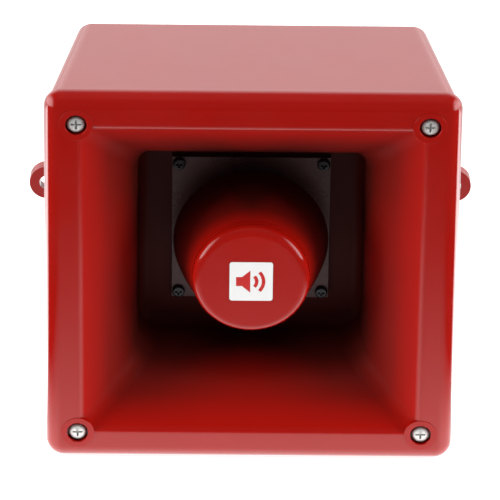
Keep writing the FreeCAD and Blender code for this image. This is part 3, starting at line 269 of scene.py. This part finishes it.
def horn_plastic(name, colour, rough, face, start, lip_shade, crease_shade):
    """Plastic that shines at its front edges, and is dull and darkened by painted shade from
    start down the horn.

    face is the depth of its flat front, and start the depth where its rounded edge ends.
    """
    made = Shader(name)
    spot = made.axes(made.place)
    depth = made.math("ADD", spot["Y"], -cad_box[0].y)
    inside = inside_horn(made, spot, depth, start)
    shade_amount = horn_painted_shade(made, spot, depth, start, lip_shade, crease_shade)
    # painted shade: the red is mixed towards a dark shade colour deeper in the horn, under the
    # ceiling and near the creases
    made.colour(
        made.mixed(made.math("MULTIPLY", inside, shade_amount), flow_marks(made, colour), PAINTED_SHADE)
    )
    made.gloss(made.math("ADD", made.math("MULTIPLY", inside, DULLED), smears(made, rough)))
    made.join(made.span(inside, *SPECULAR), made.surface.inputs["Specular IOR Level"])
    edge = made.span(depth, 0, EDGE_POLISH, face, face + EDGE_DEPTH)
    edge = made.math("MULTIPLY", edge, made.span(inside, 1, 0))
    made.join(edge, made.surface.inputs["Coat Weight"])
    ripple(made)
    return made.material


def grained(name, colour, rough, scale=1500, height=0.00003, **even):
    """Matt plastic or rubber with a fine spark-eroded grain."""
    made = Shader(name, **even)
    grain = made.noise(scale, 5)
    made.colour(made.mixed(made.noise(60, 4), shade(colour, 0.85), shade(colour, 1.2)))
    made.gloss(made.span(grain, rough * 0.85, min(1.0, rough * 1.15), 0.3, 0.7))
    made.relief(grain, height)
    return made.material


def metal(name, colour, rough, brushed="X"):
    """Plated or turned metal: fine machining lines and a faint tarnish."""
    made = Shader(name, Metallic=1.0)
    along = {"X": (1, 40, 40), "Y": (40, 1, 40), "Z": (40, 40, 1)}[brushed]
    lines = made.noise(160, 3, made.stretched(*along))
    tarnish = made.noise(420, 5)
    made.colour(made.mixed(tarnish, shade(colour, 0.8), shade(colour, 1.08)))
    turned = made.span(lines, rough * 0.7, rough * 1.2, 0.3, 0.7)
    made.gloss(made.math("ADD", turned, made.span(tarnish, 0, 0.1, 0.45, 0.75)))
    made.relief(lines, 0.000012)
    return made.material


def screw_steel(name, colour, rough):
    """Bright cover screws with domed heads, and painted shade round the rim of each head."""
    made = Shader(name, Metallic=0.45)
    spot = made.axes(made.place)
    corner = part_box("cover_screws")[1] - Vector((HEAD_RADIUS, 0, HEAD_RADIUS))
    squares = []
    for axis, middle in (("X", corner.x), ("Z", corner.z)):
        away = made.math("SUBTRACT", made.math("ABSOLUTE", spot[axis]), middle)
        squares.append(made.math("MULTIPLY", away, away))
    square = made.math("ADD", *squares)
    # painted dark reflection: each head's rim is darkened, standing in for the dark recess that
    # the dome's edge reflects
    painted_rim_shade = made.span(square, 0, 1, HEAD_BRIGHT ** 2, HEAD_RADIUS ** 2)
    tarnish = made.noise(420, 5)
    steel_tone = made.mixed(tarnish, shade(colour, 0.8), shade(colour, 1.08))
    made.colour(made.mixed(painted_rim_shade, steel_tone, shade(colour, 0.05)))
    made.gloss(made.span(tarnish, rough * 0.8, rough * 1.3, 0.3, 0.7))
    made.relief(made.span(square, 1, 0, 0, HEAD_RADIUS ** 2), HEAD_DOME)
    return made.material


def laminate(name, mask, trace, rough):
    """Solder mask over copper: lighter tracks show through, with dark laminate between."""
    made = Shader(name)
    grid = made.add("TexBrick")
    grid.offset = 0.5
    for socket, value in (
        ("Scale", 190.0), ("Mortar Size", 0.055), ("Brick Width", 1.1), ("Row Height", 0.32)
    ):
        grid.inputs[socket].default_value = value
    turned = made.add("Mapping")
    turned.inputs["Rotation"].default_value = (math.radians(90), 0, 0)
    made.join(made.place, turned.inputs["Vector"])
    made.join(turned.outputs["Vector"], grid.inputs["Vector"])
    weave = made.noise(2200, 2)
    plain = made.mixed(weave, shade(mask, 0.85), shade(mask, 1.15))
    made.colour(made.mixed(grid.outputs["Fac"], plain, trace))
    made.gloss(made.span(weave, rough * 0.8, rough * 1.3, 0.3, 0.7))
    made.relief(grid.outputs["Fac"], 0.00006)
    return made.material


def glass(name):
    """A clear cartridge with faint drawing lines in the glass."""
    made = Shader(name, Transmission_Weight=1.0, IOR=1.5)
    lines = made.noise(300, 3, made.stretched(1, 30, 30))
    made.colour(made.mixed(lines, (0.86, 0.92, 0.9), (0.97, 0.99, 0.98)))
    made.gloss(made.span(lines, 0.02, 0.07, 0.3, 0.7))
    made.relief(lines, 0.00001)
    return made.material


# how far apart the bands of a wave texture are, at scale 1
WAVE_PERIOD = math.pi / 10


def wound(name, colour, direction, pitch, rough):
    """Enamelled wire wound in close turns."""
    made = Shader(name, Metallic=0.85)
    turns = made.bands(WAVE_PERIOD / pitch, direction, 0.3)
    made.colour(made.mixed(turns, shade(colour, 0.25), shade(colour, 1.1)))
    made.gloss(made.span(made.noise(700, 3), rough * 0.8, rough * 1.3, 0.3, 0.7))
    made.relief(turns, pitch * 0.3)
    return made.material


RED = (0.32, 0.0045, 0.002)

# the cover screws' heads: their radius, the middle left without painted shade, and the rise of
# the dome, in metres
HEAD_RADIUS = 0.0041
HEAD_BRIGHT = 0.0024
HEAD_DOME = 0.0009

# the horn's mouth, its lip, and the depth over which the painted shade past the lip builds up
MOUTH_HALF = 0.0756
LIP_DEPTH = 0.002
LIP_SHADE_DEPTH = 0.011

# the painted shade down the horn: its colour, from where to where it darkens with depth, how
# much sooner it does under the ceiling, and how far from a crease it is darker
PAINTED_SHADE = (0.055, 0.005, 0.0035)
DEEP_SHADE_DEPTHS = (0.008, 0.072)
OVERHEAD_SHADE = 2.8
OVERHEAD_SPAN = (0.02, 0.05)
CREASE_REACH = (0.02, 0.055)

# the painted shade and the dulling lie only on surfaces that face the mouth: Y of the normal
# where they stop
BACKSIDE = (0.02, 0.08)

# the roughness added inside the horn, and the specular level outside the horn and inside it
DULLED = 0.3
SPECULAR = (0.5, 0.08)

# the extra coat on the rounded edges at the front, and the depth over which it comes in
EDGE_POLISH = 1.0
EDGE_DEPTH = 0.0006

materials = {
    "red_abs": moulded("fire_red_plastic", RED, 0.17),
    "badge_white": moulded("badge_white", (0.77, 0.77, 0.765), 0.22),
    "black_rubber": grained("black_rubber", (0.018, 0.018, 0.019), 0.7),
    "brass": metal("turned_brass", (0.78, 0.53, 0.22), 0.25),
    "black_plastic": grained("black_plastic", (0.022, 0.022, 0.024), 0.45),
    "board_green": laminate("solder_mask", (0.012, 0.11, 0.035), (0.05, 0.3, 0.1), 0.3),
    "zinc_steel": metal("zinc_plate", (0.66, 0.66, 0.64), 0.3),
    "stainless": screw_steel("stainless_steel", (0.86, 0.85, 0.83), 0.3),
    "terminal_green": moulded("terminal_green", (0.02, 0.25, 0.09), 0.35),
    "switch_blue": moulded("switch_blue", (0.02, 0.08, 0.3), 0.35),
    "white_plastic": moulded("white_nylon", (0.82, 0.81, 0.76), 0.4),
    "dark_steel": metal("blackened_steel", (0.09, 0.09, 0.095), 0.4),
    "dark_plate": moulded("dark_plate", (0.1, 0.045, 0.045), 0.3, Specular_IOR_Level=0.25),
    "copper": wound("enamelled_copper", (0.75, 0.3, 0.1), "Z", 0.0006, 0.3),
    "capacitor_sleeve": moulded("capacitor_sleeve", (0.02, 0.03, 0.08), 0.3),
    "aluminium": metal("extruded_aluminium", (0.78, 0.78, 0.79), 0.32, "Z"),
    "fuse_glass": glass("fuse_glass"),
    "film": moulded("phenolic_film", (0.4, 0.22, 0.07), 0.3),
    "ferrite": grained("pressed_ferrite", (0.05, 0.05, 0.053), 0.55, 2400, 0.00005),
    "lead_red": moulded("lead_insulation", (0.45, 0.015, 0.01), 0.35),
}

# how deep the bell's flat nose is, and how deep its rounded edge goes past it
NOSE_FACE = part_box("bell_reflector")[0].y - cad_box[0].y
NOSE_ROUND = 0.004

flare = horn_plastic(
    "flare_red_plastic", RED, 0.17, face=0, start=0, lip_shade=0.3, crease_shade=0.7
)
bell = horn_plastic(
    "bell_red_plastic", RED, 0.17, NOSE_FACE, NOSE_FACE + NOSE_ROUND, lip_shade=0.6, crease_shade=0
)


def finish_cad_nodes():
    """Every CAD node takes its slot's material; the horn's own parts take the dulled one."""
    for entry in frame["record"]["subparts"]:
        for holder in nodes[entry["node"]].material_slots:
            holder.material = materials[entry["material_slot"]]
    for name, material in (
        ("horn_front", flare), ("bell_reflector", bell), ("throat_tube", bell)
    ):
        for holder in nodes[name].material_slots:
            holder.material = material


# ---------------------------------------------------------------- pieces


def new_piece(name, mesh, body, material):
    """A mesh object in the row frame that rides a body and takes a slot's finish."""
    thing = bpy.data.objects.new(name, mesh)
    bpy.context.scene.collection.objects.link(thing)
    thing.data.materials.append(material)
    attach(thing, body)
    return thing


def arc_band(centre, inner, outer, half_angle, steps):
    """A flat curved band that opens to the right, as a closed outline."""
    angles = [half_angle * (2 * i / steps - 1) for i in range(steps + 1)]
    rim = [(centre + outer * math.cos(a), outer * math.sin(a)) for a in angles]
    back = [(centre + inner * math.cos(a), inner * math.sin(a)) for a in reversed(angles)]
    return rim + back


def badge_symbol():
    """A plain loudspeaker pictogram in thin red print on the white badge."""
    low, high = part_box("nose_badge")
    unit = (high.x - low.x) / 19
    print_height = 0.00006
    shapes = [
        [(-6.6, -2.2), (-4.0, -2.2), (-0.4, -5.4), (-0.4, 5.4), (-4.0, 2.2), (-6.6, 2.2)],
        arc_band(-1.4, 3.1, 4.6, math.radians(42), 16),
        arc_band(-1.4, 6.1, 7.6, math.radians(42), 20),
    ]
    shape = bmesh.new()
    for outline in shapes:
        face = shape.faces.new([
            shape.verts.new((x * unit, low.y - print_height, z * unit)) for x, z in outline
        ])
        face.normal_update()
        if face.normal.y > 0:
            face.normal_flip()
        made = bmesh.ops.extrude_face_region(shape, geom=[face])
        moved = [v for v in made["geom"] if isinstance(v, bmesh.types.BMVert)]
        bmesh.ops.translate(shape, verts=moved, vec=(0, print_height, 0))
    bmesh.ops.recalc_face_normals(shape, faces=shape.faces)
    mesh = bpy.data.meshes.new("badge_symbol")
    shape.to_mesh(mesh)
    shape.free()
    ink = moulded("badge_ink", (0.5, 0.012, 0.01), 0.3)
    return new_piece("badge_symbol", mesh, "front", ink)


# ---------------------------------------------------------------- stage and light

# the floor, and its glow as the camera sees it
FLOOR_WHITE = (0.9, 0.9, 0.9)
FLOOR_HALF = 6.0
FLOOR_GLOW = 0.75

# the pool of light ahead of the mouth: its glow, length and soft side edge
POOL_GLOW = 1.4
POOL_LENGTH = 0.30
POOL_EDGE = 0.08

# the glow in reflections of the floor beside the object and behind it, and where each comes in
BESIDE_GLOW = 3.6
BESIDE_SPAN = (0.03, 0.06)
BEHIND_GLOW = 1.0
BEHIND_SPAN = (0.02, 0.12)


def floor_material():
    """A plain white sweep. The object sees it lit ahead of the mouth, beside it and behind."""
    made = Shader("floor", Roughness=0.95, Specular_IOR_Level=0.0)
    front, back, side = cad_box[0].y, cad_box[1].y, cad_box[1].x
    spot = made.axes(made.place)
    near = made.span(spot["Y"], 0.0, 1.0, front - POOL_LENGTH, front)
    across = made.math("ABSOLUTE", spot["X"])
    inside = made.span(across, POOL_GLOW, 0.0, side, side + POOL_EDGE)
    pool = made.math("MULTIPLY", made.math("MULTIPLY", near, near), inside)
    beside = made.span(spot["Y"], 0.0, BESIDE_GLOW, *(front + far for far in BESIDE_SPAN))
    behind = made.span(spot["Y"], BESIDE_GLOW, BEHIND_GLOW, *(back + far for far in BEHIND_SPAN))
    reflected = made.math("ADD", pool, made.math("MINIMUM", beside, behind))
    path = made.add("LightPath").outputs
    seen = made.math("MULTIPLY", path["Is Camera Ray"], FLOOR_GLOW)
    mirrored = made.math("MULTIPLY", path["Is Glossy Ray"], reflected)
    bounced = made.math("MULTIPLY", path["Is Diffuse Ray"], pool)
    glow = made.math("ADD", seen, made.math("ADD", mirrored, bounced))
    made.surface.inputs["Emission Color"].default_value = (1, 1, 1, 1)
    made.join(glow, made.surface.inputs["Emission Strength"])
    made.colour(made.mixed(path["Is Glossy Ray"], FLOOR_WHITE, (0.0, 0.0, 0.0)))
    return made.material


def lay_floor():
    """One large flat sheet under the object."""
    level = cad_box[0].z
    shape = bmesh.new()
    bmesh.ops.create_grid(shape, x_segments=24, y_segments=24, size=FLOOR_HALF)
    bmesh.ops.translate(shape, verts=shape.verts, vec=(0, 0, level))
    mesh = bpy.data.meshes.new("floor")
    shape.to_mesh(mesh)
    shape.free()
    floor = bpy.data.objects.new("floor", mesh)
    floor.data.materials.append(floor_material())
    bpy.context.scene.collection.objects.link(floor)


def softbox(name, place, target, size, radiance):
    """A large soft light behind diffusion: it shapes the form but leaves no hard reflection."""
    light = bpy.data.lights.new(name, "AREA")
    light.shape = "RECTANGLE"
    light.size, light.size_y = size
    light.energy = radiance * math.pi * size[0] * size[1]
    thing = bpy.data.objects.new(name, light)
    thing.location = place
    aim = Vector(target) - Vector(place)
    thing.rotation_euler = aim.to_track_quat("-Z", "Y").to_euler()
    thing.visible_glossy = False
    thing.visible_camera = False
    bpy.context.scene.collection.objects.link(thing)


# the surround's light on matt surfaces, and its strength in reflections: low ahead, and
# rising behind and to the sides, between two values of the direction's Y or X
AMBIENT = 0.16
FRONT_SHEEN = 0.05
REAR_SHEEN = 1.5
REAR_SPAN = (0.3, 0.95)
SIDE_SHEEN = 2.6
SIDE_SPAN = (0.7, 0.95)


def surround():
    """The studio round the object: white to the camera, and dark ahead in reflections."""
    world = bpy.data.worlds.new("surround")
    world.use_nodes = True
    sky = Graph(world.node_tree)
    towards = sky.axes(sky.add("TexCoord").outputs["Generated"])
    path = sky.add("LightPath").outputs
    aside = sky.math("ABSOLUTE", towards["X"])
    behind = sky.span(towards["Y"], 0, REAR_SHEEN, *REAR_SPAN, interpolation_type="SMOOTHSTEP")
    beside = sky.span(aside, 0, SIDE_SHEEN, *SIDE_SPAN, interpolation_type="SMOOTHSTEP")
    sheen = sky.math("ADD", sky.math("ADD", behind, beside), FRONT_SHEEN)
    mirrored = sky.math("MULTIPLY", path["Is Glossy Ray"], sheen)
    soft = sky.math("MULTIPLY", path["Is Diffuse Ray"], AMBIENT)
    strength = sky.math("ADD", sky.math("ADD", mirrored, soft), path["Is Camera Ray"])
    background = sky.tree.nodes["Background"].inputs
    background["Color"].default_value = (1, 1, 1, 1)
    sky.join(strength, background["Strength"])
    bpy.context.scene.world = world


# the pair of side boxes: their angle from straight ahead, distance, rise, size and radiance
SIDE_AZIMUTH = math.radians(77)
SIDE_DISTANCE = 1.2
SIDE_RISE = 0.12
SIDE_SIZE = (0.4, 0.8)
SIDE_RADIANCE = 17

# the overhead boxes: place, target, size and radiance
OVERHEAD = {
    "top_box": ((0, 0.35, 1.2), (0, 0, 0), (1.2, 0.8), 3.4),
    "front_box": ((0, -0.45, 1.2), (0, -0.1, 0), (1.2, 0.5), 3.0),
}


def light_stage():
    """Two tall softboxes almost side-on to the mouth, and two overhead."""
    middle = Vector((0, cad_box[0].y, 0))
    for name, side in (("right_box", 1), ("left_box", -1)):
        away = Vector((side * math.sin(SIDE_AZIMUTH), -math.cos(SIDE_AZIMUTH), SIDE_RISE))
        softbox(name, middle + away * SIDE_DISTANCE, middle, SIDE_SIZE, SIDE_RADIANCE)
    for name, (place, target, size, radiance) in OVERHEAD.items():
        softbox(name, place, target, size, radiance)
    surround()
    bpy.context.scene.view_settings.view_transform = "Standard"


aim_camera()
finish_cad_nodes()
badge_symbol()
lay_floor()
light_stage()
